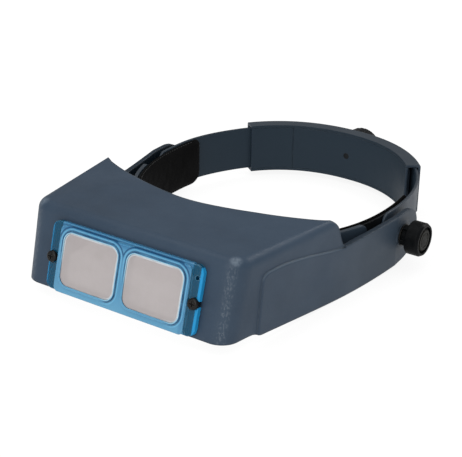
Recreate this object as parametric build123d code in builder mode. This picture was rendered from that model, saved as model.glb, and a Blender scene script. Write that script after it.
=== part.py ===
from build123d import *
import math
import os

# Head visor magnifier: a hood with a twin-lens plate, tilting on an adjustable headband.
# Frame: origin midway between the two pivots, on their axis, at the band's mid-height,
# +X to the wearer's left, -Y to the front (towards the lenses), +Z up. Millimetres.
# Plan angles are polar degrees from +X, so 90 is the rear and 270 the front.
# Offsets are distances outwards from the headband's inner curve.

os.makedirs("parts", exist_ok=True)

# ---------------------------------------------------------------- driving dimensions
# Headband inner curve: a superellipse seen from above.
band_half_width = 76.35
band_half_length = 87.67
band_center_y = 1.46
band_exponent = 2.18

# Comfort pad, carrier and front strap.
pad_offsets = (1.0, 3.3)
pad_corner_offset = 1.6       # offset at which the pad's ends are found
pad_bottom, pad_top = -16.4, 14.8
pad_end_y = 26.0              # the pad ends behind the pivots
pad_top_corner_r, pad_bottom_corner_r = 4.5, 7.5
carrier_offsets = (3.35, 4.5)
carrier_mid_offset = 3.9
carrier_half = 13.2           # half-height
carrier_end_y = 11.5          # the carrier ends just behind the bolts
carrier_corner_r = 8.0
front_strap_offsets = (4.6, 6.8)
front_strap_mid_offset = 5.7
front_strap_end_y = -27.4
front_strap_corner_r = 5.0

# Studs between carrier and front strap.
stud_angles = (225, 252, 288, 315)
stud_r = 2.0
stud_seat_r = stud_r + 0.02
stud_start = 3.45             # offset of the inner end
stud_len = 2.45

# Rear straps.
strap_half = 14.4             # half-height of all the straps
strap_t = 1.5
temple_offset = 5.1           # inner offset of the rear straps at the temples
rear_strap_start_y = -11.4
rear_strap_end_angle = 131.0  # left strap; the right one mirrors it
right_rear_offset = 2.6       # inner offset of the right strap in the housing
left_rear_offset = 5.5        # inner offset of the left strap in the housing
temple_corner_r, rear_corner_r = 5.5, 6.0

# Rear housing.
housing_half = 16.4
housing_wall = 1.7
housing_out = 9.6             # outer offset
housing_cavity = 8.0          # outer offset of the cavity
housing_edge_r = 1.4
inner_plate_t = 1.7
housing_angle = 46.0          # end angle on the left; the right one mirrors it
witness_angles = (114.8, 115.15)
bearing_pad_r = 8.0
bearing_pad_t = 1.0
bearing_pad_proud = 0.4       # how far the pad stands behind the housing

# Rack and pinion.
rack_module = 1.0
rack_pitch = math.pi * rack_module
rack_end_tooth = 9            # teeth on each side of the middle one
pinion_teeth = 10
pinion_r = rack_module * pinion_teeth / 2
pinion_tip = pinion_r + 0.85
pinion_root = pinion_r - 1.15
slot_clear = 6.6              # plain edge of the rack slot, from the pinion's axis
shaft_r = 3.0
journal_r = 2.0
run = 0.05                    # radial running clearance

# Size knob.
knob_r = 13.2
knob_len = 13.6
drive_len = 7.0               # flatted end of the shaft
drive_flats = 4.6             # width across the flats
flats_len = 8.0               # length of the flats' rectangle, beyond the shaft
head_recess_r, head_recess_depth = 4.0, 4.2

# Hood.
wall = 2.2
top_z = 32.0
ear_z = 30.6
side_x0 = 89.7                # hood side plane: x = side_x0 + side_slope * y
side_slope = 0.134
panel_raise = 1.1
panel_round = 0.8             # rounding of the raised panel's edge
face_y_top = -144.0           # front face at face_z_top
face_z_top = 31.8
face_slope = 11.8 / 44.6      # forward lean of the front face, per mm down
corner_r = 11.5
roof_edge_r = 6.3
hollow_edge_r = 3.4
hood_bottom_z = -30
hollow_bottom_z = -60
window_half = 44
window_top_z = 24
window_corner_r = 5

# Hood arms.
arm_flat_y = -8.0             # behind this the arms' outsides run straight back
hollow_flat_y = -9.0          # behind this the arms' insides run straight back
arm_in = 86.8                 # inner face of the arm end
arm_thin_y = -45.0            # forward of this the inside follows the hood's wall

# Lens plate, measured down the front face from its top edge.
plate_half = 50.8
plate_span = (6.2, 45.3)
plate_corner_r = 4.5
frame_half = 44.4
frame_span = (7.6, 45.6)
frame_corner_r = 3.0
flange_t = 3.0
frame_t = 4.4
plate_gap = 0.2               # from the hood's front face to the plate's back
lens_x = 21.85                # lens centre from the middle
lens_down = 25.8              # lens centre down the face
lens_w, lens_h, lens_r = 37.2, 30.0, 5.3
lens_lip = 1.3                # width of the bezel, and of the ledge behind the lens
pocket_clear = 0.08
pocket_floor = 2.1            # height of the lens pocket's floor above the hood's face
lens_back = pocket_floor + 0.05
screw_x, screw_down = 48.0, 27.0
accessory_hole = (47.6, -13.2)
accessory_hole_r = 1.25

# Pivots: distances from the middle along X.
bolt_r = 3.0
bolt_head_r = 6.0
bolt_head_x = 78.0            # inner face of the head
bolt_head_t = 1.3
boss_out = 90.1
boss_in = 84.3                # inner face of the boss at each pivot
boss_in_r, boss_out_r = 8.6, 8.4
washer_t = 0.8
washer_gap = 0.08
knob_seat_x = boss_out + washer_t + 2 * washer_gap
grip_in, grip_out = 95.2, 104.2


# ---------------------------------------------------------------- helpers
def save(builder, name):
    """Label a finished piece and write its STEP file."""
    builder.part.label = name
    export_step(builder.part, f"parts/{name}.step")


def band_xy(angle, offset=0.0):
    """Point on the band's inner curve at a plan angle, moved out by offset."""
    def on_curve(a):
        c, s = math.cos(a), math.sin(a)
        across = abs(c / band_half_width) ** band_exponent
        along = abs(s / band_half_length) ** band_exponent
        radius = (across + along) ** (-1 / band_exponent)
        return radius * c, band_center_y + radius * s

    a = math.radians(angle)
    nudge = 1e-4
    x0, y0 = on_curve(a - nudge)
    x1, y1 = on_curve(a + nudge)
    tangent_x, tangent_y = x1 - x0, y1 - y0
    length = math.hypot(tangent_x, tangent_y)
    x, y = on_curve(a)
    return x + offset * tangent_y / length, y - offset * tangent_x / length


def angle_at_y(y, offset):
    """Angle on the +X side where the curve at this offset reaches y, by bisection."""
    low, high = -80.0, 80.0
    for _ in range(60):
        mid = (low + high) / 2
        if band_xy(mid, offset)[1] < y:
            low = mid
        else:
            high = mid
    return low


def front_arc(end_y, offset):
    """Start and end angles of an arc round the front whose ends both lie at end_y."""
    angle = angle_at_y(end_y, offset)
    return 180 - angle, 360 + angle


def strip(start, end, inner_offset, outer_offset):
    """Curved strip in plan, added to the active sketch.
    Offsets are numbers or functions of the angle."""
    def points(offset):
        return [band_xy(a, offset(a) if callable(offset) else offset) for a in angles]

    count = max(6, int(abs(end - start) / 4.0))
    angles = [start + (end - start) * i / count for i in range(count + 1)]
    with BuildLine() as line:
        outer = Spline(points(outer_offset))
        inner = Spline(points(inner_offset))
        Line(outer @ 0, inner @ 0)
        Line(outer @ 1, inner @ 1)
    make_face(line.edges())


def corner_edges(builder, angle, offset, bottom, top):
    """Short top and bottom edges across the thickness at one end of a strip."""
    x, y = band_xy(angle, offset)
    return builder.edges().filter_by(
        lambda e: (Vector(x, y, 0) - Vector(e.center().X, e.center().Y, 0)).length < 2.0
        and (abs(e.center().Z - bottom) < 0.1 or abs(e.center().Z - top) < 0.1)
        and e.length < 6
    )


def outward_plane(angle, offset):
    """Plane at an offset from the band's curve, facing straight out from it."""
    x, y = band_xy(angle, offset)
    x_out, y_out = band_xy(angle, offset + 5)
    return Plane((x, y, 0), z_dir=(x_out - x, y_out - y, 0))


def rear_facing(y):
    return Plane((0, y, 0), z_dir=(0, 1, 0))


def front_facing(y):
    return Plane((0, y, 0), z_dir=(0, -1, 0))


# ---------------------------------------------------------------- comfort pad
pad_ends = front_arc(pad_end_y, pad_corner_offset)
with BuildPart() as comfort_pad:
    with BuildSketch(Plane.XY.offset(pad_bottom)):
        strip(*pad_ends, *pad_offsets)
    extrude(amount=pad_top - pad_bottom)
    for end_angle in pad_ends:
        for pick, radius in ((-1, pad_top_corner_r), (0, pad_bottom_corner_r)):
            corners = corner_edges(
                comfort_pad, end_angle, pad_corner_offset, pad_bottom, pad_top)
            fillet(corners.sort_by(Axis.Z)[pick], radius)
    # pockets over the heads of the pivot bolts
    for side in (1, -1):
        with BuildSketch(Plane.YZ.offset(side * (bolt_head_x - 0.1))):
            Circle(bolt_head_r + 0.6)
        extrude(amount=side * 6, mode=Mode.SUBTRACT)
save(comfort_pad, "comfort_pad")

# ---------------------------------------------------------------- pad carrier
carrier_ends = front_arc(carrier_end_y, carrier_mid_offset)
with BuildPart() as pad_carrier:
    with BuildSketch(Plane.XY.offset(-carrier_half)):
        strip(*carrier_ends, *carrier_offsets)
    extrude(amount=2 * carrier_half)
    for end_angle in carrier_ends:
        corners = corner_edges(
            pad_carrier, end_angle, carrier_mid_offset, -carrier_half, carrier_half)
        fillet(corners, carrier_corner_r)
    # square seats for the bolts' necks
    for side in (1, -1):
        with BuildSketch(Plane.YZ.offset(side * 76)):
            Rectangle(2 * bolt_r + 0.1, 2 * bolt_r + 0.1)
        extrude(amount=side * 8, mode=Mode.SUBTRACT)
    # through seats for the studs
    for stud_angle in stud_angles:
        with BuildSketch(outward_plane(stud_angle, 0)):
            Circle(stud_seat_r)
        extrude(amount=8, mode=Mode.SUBTRACT)
save(pad_carrier, "pad_carrier")

# ---------------------------------------------------------------- studs
with BuildPart() as pad_studs:
    for stud_angle in stud_angles:
        with BuildSketch(outward_plane(stud_angle, stud_start)):
            Circle(stud_r)
        extrude(amount=stud_len)
save(pad_studs, "pad_studs")

# ---------------------------------------------------------------- front strap
front_ends = front_arc(front_strap_end_y, front_strap_mid_offset)
with BuildPart() as front_strap:
    with BuildSketch(Plane.XY.offset(-strap_half)):
        strip(*front_ends, *front_strap_offsets)
    extrude(amount=2 * strap_half)
    for end_angle in front_ends:
        corners = corner_edges(
            front_strap, end_angle, front_strap_mid_offset, -strap_half, strap_half)
        fillet(corners, front_strap_corner_r)
    # blind seats for the studs
    for stud_angle in stud_angles:
        with BuildSketch(outward_plane(stud_angle, 3)):
            Circle(stud_seat_r)
        extrude(amount=3.0, mode=Mode.SUBTRACT)
save(front_strap, "front_strap")


# ---------------------------------------------------------------- rear straps with racks
def rack_profile(up):
    """Slot in a strap, in the X-Z plane at the rear: one plain edge, one toothed edge.
    up is +1 when the teeth hang from the top edge."""
    root = pinion_r + 1.25 * rack_module
    tip = pinion_r - 0.8 * rack_module
    slot_end = (rack_end_tooth + 0.5) * rack_pitch
    flank = 0.36                                # sideways run of half a flank
    tooth_half = rack_pitch / 4 - 0.14          # half-width at mid-height
    points = [(-slot_end, -up * slot_clear), (slot_end, -up * slot_clear), (slot_end, up * root)]
    for i in range(rack_end_tooth, -rack_end_tooth - 1, -1):
        center = i * rack_pitch
        points += [
            (center + tooth_half + flank, up * root),
            (center + tooth_half - flank, up * tip),
            (center - tooth_half + flank, up * tip),
            (center - tooth_half - flank, up * root),
        ]
    points.append((-slot_end, up * root))
    return points


def rear_strap(side, rear_offset, ease_start, ease_span):
    """Strap from one temple to the rear; side is +1 for the left, -1 for the right.
    Its offset eases from the temple's to rear_offset over ease_span degrees."""
    def own_side(angle):
        return angle if side > 0 else 180 - angle

    def inner(angle):
        u = min(1.0, max(0.0, (own_side(angle) - ease_start) / ease_span))
        return temple_offset + (rear_offset - temple_offset) * u * u * (3 - 2 * u)

    def outer(angle):
        return inner(angle) + strap_t

    temple_end = own_side(angle_at_y(rear_strap_start_y, temple_offset))
    rear_end = own_side(rear_strap_end_angle)
    with BuildPart() as strap:
        with BuildSketch(Plane.XY.offset(-strap_half)):
            strip(temple_end, rear_end, inner, outer)
        extrude(amount=2 * strap_half)
        for end_angle, radius in ((temple_end, temple_corner_r), (rear_end, rear_corner_r)):
            mid_offset = inner(end_angle) + strap_t / 2
            corners = corner_edges(strap, end_angle, mid_offset, -strap_half, strap_half)
            fillet(corners, radius)
        # rack slot, cut straight backwards; the left strap's teeth hang from the top
        with BuildSketch(Plane((0, 60, 0), x_dir=(1, 0, 0), z_dir=(0, -1, 0))):
            with BuildLine():
                Polyline(*rack_profile(side), close=True)
            make_face()
        extrude(amount=-60, mode=Mode.SUBTRACT)
        # bolt hole at the temple
        with BuildSketch(Plane.YZ.offset(side * 75)):
            Circle(bolt_r + 0.55)
        extrude(amount=side * 15, mode=Mode.SUBTRACT)
    return strap


save(rear_strap(1, left_rear_offset, ease_start=12, ease_span=30), "left_strap")
save(rear_strap(-1, right_rear_offset, ease_start=10, ease_span=32), "right_strap")

# ---------------------------------------------------------------- rear housing
band_rear_y = band_center_y + band_half_length
housing_rear_y = band_rear_y + housing_out
bearing_pad_y = housing_rear_y + bearing_pad_proud

with BuildPart() as rear_housing_outer:
    with BuildSketch(Plane.XY.offset(-housing_half)):
        strip(housing_angle, 180 - housing_angle, 0, housing_out)
    extrude(amount=2 * housing_half)
    outer_edges = rear_housing_outer.edges().filter_by(
        lambda e: abs(abs(e.center().Z) - housing_half) < 0.1 and e.length > 60
    ).sort_by(lambda e: -e.length)[0:2]
    fillet(outer_edges, housing_edge_r)
    # cavity, open at the front and at both ends
    with BuildSketch(Plane.XY.offset(-housing_half + housing_wall)):
        strip(housing_angle - 3, 183 - housing_angle, -2, housing_cavity)
    extrude(amount=2 * (housing_half - housing_wall), mode=Mode.SUBTRACT)
    # raised round pad for the knob, and the bearing for the pinion's shaft
    with BuildSketch(rear_facing(bearing_pad_y - bearing_pad_t)):
        Circle(bearing_pad_r)
    extrude(amount=bearing_pad_t)
    with BuildSketch(rear_facing(band_rear_y + 4)):
        Circle(shaft_r + run)
    extrude(amount=12, mode=Mode.SUBTRACT)
save(rear_housing_outer, "rear_housing_outer")

inner_plate_half = housing_half - housing_wall - 0.05
with BuildPart() as rear_housing_inner:
    with BuildSketch(Plane.XY.offset(-inner_plate_half)):
        strip(housing_angle + 0.05, 179.95 - housing_angle, 0.02, inner_plate_t)
    extrude(amount=2 * inner_plate_half)
    # shallow witness line down the inner face
    with BuildSketch(Plane.XY.offset(-inner_plate_half)):
        strip(*witness_angles, -0.5, 0.4)
    extrude(amount=2 * inner_plate_half, mode=Mode.SUBTRACT)
    # bearing for the pinion's journal
    with BuildSketch(rear_facing(band_rear_y - 6)):
        Circle(journal_r + run)
    extrude(amount=12, mode=Mode.SUBTRACT)
save(rear_housing_inner, "rear_housing_inner")


# ---------------------------------------------------------------- pinion
def tooth_points():
    """Outline of the pinion: straight-sided teeth, a gap at top and bottom."""
    # angle from the tooth's middle, radius
    corners = ((-10.4, pinion_root), (-4.4, pinion_tip), (4.4, pinion_tip), (10.4, pinion_root))
    pitch_angle = 360 / pinion_teeth
    points = []
    for i in range(pinion_teeth):
        middle = i * pitch_angle + pitch_angle / 2 + 90
        for turn, radius in corners:
            a = math.radians(middle + turn)
            points.append((radius * math.cos(a), radius * math.sin(a)))
    return points


gear_front_y = band_rear_y + inner_plate_t + 0.35
gear_rear_y = band_rear_y + housing_cavity - 0.25
shaft_shoulder_y = bearing_pad_y + 1.0
shaft_end_y = shaft_shoulder_y + drive_len
with BuildPart() as pinion:
    with BuildSketch(Plane((0, gear_front_y, 0), x_dir=(1, 0, 0), z_dir=(0, -1, 0))):
        with BuildLine():
            Polyline(*tooth_points(), close=True)
        make_face()
    extrude(amount=-(gear_rear_y - gear_front_y))
    # journal in the inner cover, ending just inside its front face
    with BuildSketch(front_facing(gear_front_y)):
        Circle(journal_r)
    extrude(amount=gear_front_y - band_rear_y - 0.3)
    # shaft out through the housing wall, with flats that drive the knob
    with BuildSketch(rear_facing(gear_rear_y)):
        Circle(shaft_r)
    extrude(amount=shaft_shoulder_y - gear_rear_y)
    with BuildSketch(rear_facing(shaft_shoulder_y)):
        Circle(shaft_r)
        Rectangle(drive_flats, flats_len, mode=Mode.INTERSECT)
    extrude(amount=drive_len)
    # hole for the knob's screw
    with BuildSketch(rear_facing(shaft_end_y)):
        Circle(1.25)
    extrude(amount=-9, mode=Mode.SUBTRACT)
save(pinion, "pinion")

# ---------------------------------------------------------------- size knob
knob_front_y = bearing_pad_y + 1.1
knob_rear_y = knob_front_y + knob_len
with BuildPart() as adjust_knob:
    with BuildSketch(rear_facing(knob_front_y)):
        Circle(knob_r)
    extrude(amount=knob_len)
    fillet(adjust_knob.faces().sort_by(Axis.Y)[-1].edges(), 1.6)
    chamfer(adjust_knob.faces().sort_by(Axis.Y)[0].edges(), 0.6)
    # grip flutes round the rim
    with BuildSketch(rear_facing(knob_front_y + 2.2)):
        with PolarLocations(knob_r + 0.55, 24):
            Circle(1.1)
    extrude(amount=knob_len, mode=Mode.SUBTRACT)
    # recess for the screw head in the rear face
    with BuildSketch(rear_facing(knob_rear_y)):
        Circle(head_recess_r)
    extrude(amount=-head_recess_depth, mode=Mode.SUBTRACT)
    # drive hole with two flats, and the screw's clearance
    with BuildSketch(rear_facing(knob_front_y)):
        Circle(shaft_r + run)
        Rectangle(drive_flats + 0.1, flats_len, mode=Mode.INTERSECT)
    extrude(amount=drive_len + 0.4, mode=Mode.SUBTRACT)
    with BuildSketch(rear_facing(knob_front_y)):
        Circle(1.6)
    extrude(amount=knob_len, mode=Mode.SUBTRACT)
    # ring hollow in the front face, round the drive socket
    with BuildSketch(rear_facing(knob_front_y)):
        Circle(knob_r - 2.6)
        Circle(5.6, mode=Mode.SUBTRACT)
    extrude(amount=4.5, mode=Mode.SUBTRACT)
save(adjust_knob, "adjust_knob")

# ---------------------------------------------------------------- size knob's screw
screw_head_y = knob_rear_y - head_recess_depth + 0.02
screw_head_t = 2.2
with BuildPart() as adjust_knob_screw:
    with BuildSketch(rear_facing(screw_head_y)):
        Circle(3.3)
    extrude(amount=screw_head_t)
    fillet(adjust_knob_screw.faces().sort_by(Axis.Y)[-1].edges(), 0.9)
    # shank down to the foot of the shaft's flats
    with BuildSketch(front_facing(screw_head_y)):
        Circle(1.2)
    extrude(amount=screw_head_y - shaft_shoulder_y)
    # cross slot
    with BuildSketch(rear_facing(screw_head_y + screw_head_t)):
        Rectangle(4.0, 0.9)
        Rectangle(0.9, 4.0)
    extrude(amount=-1.1, mode=Mode.SUBTRACT)
save(adjust_knob_screw, "adjust_knob_screw")

# ---------------------------------------------------------------- detent washer
with BuildPart() as detent_washer:
    with BuildSketch(rear_facing(bearing_pad_y + 0.05)):
        Circle(7.6)
        Circle(shaft_r + 0.12, mode=Mode.SUBTRACT)
        # notches round the rim
        with PolarLocations(7.4, 12):
            Circle(0.8, mode=Mode.SUBTRACT)
    extrude(amount=0.9)
save(detent_washer, "detent_washer")


# ---------------------------------------------------------------- hood helpers
def face_y(z):
    """y of the front face at height z."""
    return face_y_top - (face_z_top - z) * face_slope


def plan(z, inset=0.0, rear=24.0, radius=corner_r, raised=0.0):
    """Hood outline in plan at height z, drawn in the active sketch.
    With no inset it is the outer outline, else the outline of the hollow,
    which follows the arms' inner faces."""
    front_y = face_y(z) + inset * math.sqrt(1 + face_slope ** 2)
    x0 = side_x0 - inset * math.sqrt(1 + side_slope ** 2) + raised

    def side_x(y):
        return x0 + side_slope * y

    if inset:
        bends = [(side_x(arm_thin_y), arm_thin_y), (arm_in, hollow_flat_y), (arm_in, rear)]
    else:
        arm_x = side_x(arm_flat_y)
        bends = [(arm_x, arm_flat_y), (arm_x, rear)]
    left = [(side_x(front_y), front_y)] + bends
    with BuildLine() as outline:
        Polyline(*([(-x, y) for x, y in left[::-1]] + left), close=True)
    face = make_face(outline.edges())
    if radius:
        fillet(face.vertices().group_by(Axis.Y)[0], radius)


def facet_plane(side, drop=0.0):
    """Plane of the sloping roof facet over one side wall, lowered by drop."""
    front = Vector(side * 66, -137, top_z)
    middle = Vector(side * 43, -92, top_z)
    ear = Vector(side * 80.5, -64, ear_z)
    normal = (middle - front).cross(ear - front).normalized()
    if normal.Z < 0:
        normal = normal * -1
    return Plane(origin=front - normal * drop, z_dir=normal)


# ---------------------------------------------------------------- hood outlines
# Side view of the hood and its arms, (y, z) points.
chin_z = -12.7                # bottom of the front face
block_top_z = 60
chin_curve = [(-143, -12.9), (-137, -13.1), (-133, -13.6), (-129.6, -14.9), (-126.5, -15.4)]
bottom_curve = [(-126.5, -15.4), (-117, -16.0), (-97, -17.3), (-54, -19.4), (-22, -18.6), (-4, -17.0)]
arm_end_curve = [
    (-4, -17.0), (2.5, -16.2), (9.2, -14.0), (14.9, -9.0), (17.4, -2.0),
    (16.9, 5.6), (13.4, 10.9), (7.5, 13.5), (0, 14.0),
]
arm_top_curve = [(0, 14.0), (-20, 13.2), (-40, 12.4), (-54.5, 12.0)]
riser_curve = [
    (-54.5, 12.0), (-57.4, 12.7), (-59.3, 15.4), (-61.0, 19.6),
    (-62.6, 24.2), (-64.7, 27.8), (-67.2, 30.3), (-70.5, 31.7),
]

# Front and top edges of the raised arm panels, (y, z) points.
panel_corner = [(-128.0, 14.0), (-126.8, 18.0), (-122.6, 20.1)]
panel_top_curve = [
    (-122.6, 20.1), (-115, 20.3), (-103, 19.4), (-92, 17.8),
    (-81, 15.7), (-72, 14.0), (-61.5, 12.3),
]

# Rear edge of the roof in plan, (x, y) points from the left side to the middle.
roof_rear_curve = [
    (78.8, -66.8), (75.4, -69.9), (70.5, -72.9), (60, -78.1),
    (42, -85.1), (22, -90.3), (0, -93.0),
]

# ---------------------------------------------------------------- hood building blocks
# side view pulled across the whole width
with BuildPart() as side_block:
    with BuildSketch(Plane.YZ.offset(-100)):
        with BuildLine():
            Line((face_y(block_top_z), block_top_z), (face_y(chin_z), chin_z))
            Polyline((face_y(chin_z), chin_z), chin_curve[0])
            Spline(chin_curve, tangents=[(1, 0), (1, -0.05)])
            Spline(bottom_curve, tangents=[(1, -0.05), (1, 0.12)])
            Spline(arm_end_curve)
            Spline(arm_top_curve, tangents=[(-1, 0.0), (-1, -0.05)])
            Spline(riser_curve)
            Polyline(riser_curve[-1], (-74, 34), (-74, block_top_z),
                     (face_y(block_top_z), block_top_z))
        make_face()
    extrude(amount=200)

# region of the raised arm panels, pulled across the whole width
with BuildPart() as panel_block:
    with BuildSketch(Plane.YZ.offset(-100)):
        with BuildLine():
            Line((-132, -30), panel_corner[0])
            Spline(panel_corner, tangents=[(4, 44), (1, 0.06)])
            Spline(panel_top_curve, tangents=[(1, 0.06), (1, -0.15)])
            Polyline(panel_top_curve[-1], (-57, 11.6), (-57, 30), (30, 30), (30, -30), (-132, -30))
        make_face()
    extrude(amount=200)

# inner hollow of the hood, open below and behind
hollow_top_z = top_z - wall - 0.2
with BuildPart() as hood_core:
    with BuildSketch(Plane.XY.offset(hollow_bottom_z)):
        plan(hollow_bottom_z, wall, rear=60, radius=corner_r - wall)
    with BuildSketch(Plane.XY.offset(hollow_top_z)):
        plan(hollow_top_z, wall, rear=60, radius=corner_r - wall)
    loft(ruled=True)
    hollow_top = hood_core.faces().sort_by(Axis.Z)[-1]
    fillet(hollow_top.edges().filter_by(lambda e: e.center().Y < 55), hollow_edge_r)
    for side in (1, -1):
        split(bisect_by=facet_plane(side, wall), keep=Keep.BOTTOM)


def on_panel_rim(edge):
    """True for the front and top edges of the raised layer's outer faces."""
    p = edge @ 0.5
    on_face = abs(abs(p.X) - (side_x0 + panel_raise + side_slope * p.Y)) < 0.05
    return on_face and p.Y < -59 and abs(p.Z) < 29


# raised layer of the arm panels, proud of the hood's sides
with BuildPart() as arm_layer:
    with BuildSketch(Plane.XY.offset(-30)):
        plan(-30, radius=0, raised=panel_raise)
    with BuildSketch(Plane.XY.offset(30)):
        plan(30, radius=0, raised=panel_raise)
    loft(ruled=True)
    add(panel_block.part, mode=Mode.INTERSECT)
    # clear the middle, leaving one layer on each side
    with BuildSketch(Plane.XY.offset(-60)):
        Rectangle(130, 400)
    extrude(amount=120, mode=Mode.SUBTRACT)
    fillet(arm_layer.edges().filter_by(on_panel_rim), panel_round)

# ---------------------------------------------------------------- hood
# Plane of the front face: origin at the top edge, local y up the face, z forwards.
face_plane = Plane(
    origin=(0, face_y_top, face_z_top), x_dir=(1, 0, 0), z_dir=(0, -1, face_slope))
face_axis = Axis((0, 0, 0), (0, -1, face_slope))
screw_places = [(screw_x, -screw_down), (-screw_x, -screw_down)]
lens_places = [(lens_x, -lens_down), (-lens_x, -lens_down)]

with BuildPart() as visor_hood:
    with BuildSketch(Plane.XY.offset(hood_bottom_z)):
        plan(hood_bottom_z)
    with BuildSketch(Plane.XY.offset(top_z)):
        plan(top_z)
    loft(ruled=True)
    roof = visor_hood.faces().sort_by(Axis.Z)[-1]
    fillet(roof.edges().filter_by(lambda e: e.center().Y < 20), roof_edge_r)
    for side in (1, -1):
        split(bisect_by=facet_plane(side), keep=Keep.BOTTOM)
    add(arm_layer.part)
    add(side_block.part, mode=Mode.INTERSECT)
    add(hood_core.part, mode=Mode.SUBTRACT)
    # concave rear edge of the roof
    with BuildSketch(Plane.XY.offset(26.5)):
        with BuildLine():
            Spline(roof_rear_curve + [(-x, y) for x, y in roof_rear_curve[-2::-1]])
            Polyline((-78.8, -66.8), (-78.8, 0), (78.8, 0), (78.8, -66.8))
        make_face()
    extrude(amount=20, mode=Mode.SUBTRACT)
    # lens window, a notch open at the bottom edge
    with BuildSketch(Plane.XZ.offset(130)):
        with BuildLine() as notch:
            Polyline((-window_half, -40), (-window_half, window_top_z),
                     (window_half, window_top_z), (window_half, -40), close=True)
        make_face()
        fillet(notch.vertices().group_by(Axis.Y)[-1], window_corner_r)
    extrude(amount=40, mode=Mode.SUBTRACT)
    # pivot bosses: inside towards the band, outside a flat disc a little proud of the arm
    for side in (1, -1):
        with BuildSketch(Plane.YZ.offset(side * boss_in)):
            Circle(boss_in_r)
        extrude(amount=side * (arm_in - boss_in + 0.6))
        with BuildSketch(Plane.YZ.offset(side * (boss_out - 1.2))):
            Circle(boss_out_r)
        extrude(amount=side * 1.2)
        with BuildSketch(Plane.YZ.offset(side * 80)):
            Circle(bolt_r + run)
        extrude(amount=side * 20, mode=Mode.SUBTRACT)
    # holes for the lens plate's screws and for the accessory pin
    with BuildSketch(face_plane.offset(-8)):
        with Locations(*screw_places):
            Circle(1.6)
        with Locations(accessory_hole):
            Circle(accessory_hole_r)
    extrude(amount=16, mode=Mode.SUBTRACT)
save(visor_hood, "visor_hood")

# ---------------------------------------------------------------- lens plate
cut_from = 6.0                # cuts start this far in front of the hood's face
cut_through = 9.0
with BuildPart() as lens_plate:
    # flange, then the thicker frame: half-width, span, corner, thickness, chamfer
    for half, span, radius, thickness, bevel in (
        (plate_half, plate_span, plate_corner_r, flange_t, 0.35),
        (frame_half, frame_span, frame_corner_r, frame_t, 0.5),
    ):
        with BuildSketch(face_plane.offset(plate_gap)):
            with Locations((0, -(span[0] + span[1]) / 2)):
                RectangleRounded(2 * half, span[1] - span[0], radius)
        extrude(amount=thickness)
        chamfer(lens_plate.faces().sort_by(face_axis)[-1].edges(), bevel)
    # bezels round the lenses
    with BuildSketch(face_plane.offset(plate_gap + frame_t)):
        with Locations(*lens_places):
            RectangleRounded(lens_w + 2 * lens_lip, lens_h + 2 * lens_lip, lens_r + lens_lip)
    extrude(amount=0.5)
    # lens pockets and light openings: growth beyond the lens's edge, depth
    for growth, depth in ((pocket_clear, cut_from - pocket_floor), (-lens_lip, cut_through)):
        with BuildSketch(face_plane.offset(cut_from)):
            with Locations(*lens_places):
                RectangleRounded(lens_w + 2 * growth, lens_h + 2 * growth, lens_r + growth)
        extrude(amount=-depth, mode=Mode.SUBTRACT)
    # open slots for the screws, and the accessory hole
    with BuildSketch(face_plane.offset(cut_from)):
        with Locations((screw_x + 2, -screw_down), (-screw_x - 2, -screw_down)):
            SlotOverall(7.4, 3.4)
        with Locations(accessory_hole):
            Circle(accessory_hole_r)
    extrude(amount=-cut_through, mode=Mode.SUBTRACT)
save(lens_plate, "lens_plate")


# ---------------------------------------------------------------- lenses
def lens(place):
    """Rounded rectangular lens with a shallow convex front."""
    crown_r = 340.0
    crown_height = 3.15
    with BuildPart() as glass:
        with BuildSketch(face_plane.offset(lens_back)):
            with Locations(place):
                RectangleRounded(lens_w, lens_h, lens_r)
        extrude(amount=3.2)
        center = face_plane.from_local_coords((*place, lens_back + crown_height - crown_r))
        with Locations(Location(center)):
            Sphere(crown_r, mode=Mode.INTERSECT)
    return glass


for place, name in zip(lens_places, ("left_lens", "right_lens")):
    save(lens(place), name)

# ---------------------------------------------------------------- lens plate screws
flange_front = plate_gap + flange_t
with BuildPart() as lens_plate_screws:
    with BuildSketch(face_plane.offset(flange_front + 0.02)):
        with Locations(*screw_places):
            Circle(3.3)
    extrude(amount=2.3)
    large_faces = lens_plate_screws.faces().filter_by(lambda f: f.area > 20)
    fillet(large_faces.sort_by(face_axis)[-2:].edges(), 1.1)
    # cross slots
    with BuildSketch(face_plane.offset(flange_front + 2.4)):
        with Locations(*screw_places):
            Rectangle(3.6, 0.8)
            Rectangle(0.8, 3.6)
    extrude(amount=-1.2, mode=Mode.SUBTRACT)
    # shanks
    with BuildSketch(face_plane.offset(flange_front + 0.1)):
        with Locations(*screw_places):
            Circle(1.5)
    extrude(amount=-9.6)
save(lens_plate_screws, "lens_plate_screws")

# ---------------------------------------------------------------- lens plate nuts
with BuildPart() as lens_plate_nuts:
    with BuildSketch(face_plane.offset(-wall - 0.1)):
        with Locations(*screw_places):
            RegularPolygon(3.1, 6)
            Circle(1.53, mode=Mode.SUBTRACT)
    extrude(amount=-2.4)
save(lens_plate_nuts, "lens_plate_nuts")


# ---------------------------------------------------------------- pivots, one side at a time
def pivot_bolt(side, end_x):
    """Wide flat head inside the carrier, square neck, round shank outwards."""
    neck_x = bolt_head_x + bolt_head_t
    shank_x = neck_x + 1.5
    with BuildPart() as bolt:
        with BuildSketch(Plane.YZ.offset(side * bolt_head_x)):
            Circle(bolt_head_r)
        extrude(amount=side * bolt_head_t)
        with BuildSketch(Plane.YZ.offset(side * neck_x)):
            Rectangle(2 * bolt_r - 0.1, 2 * bolt_r - 0.1)
        extrude(amount=side * 1.6)
        with BuildSketch(Plane.YZ.offset(side * shank_x)):
            Circle(bolt_r)
        extrude(amount=side * (end_x - shank_x))
        chamfer(bolt.faces().sort_by(Axis.X)[-1 if side > 0 else 0].edges(), 0.6)
    return bolt


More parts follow.
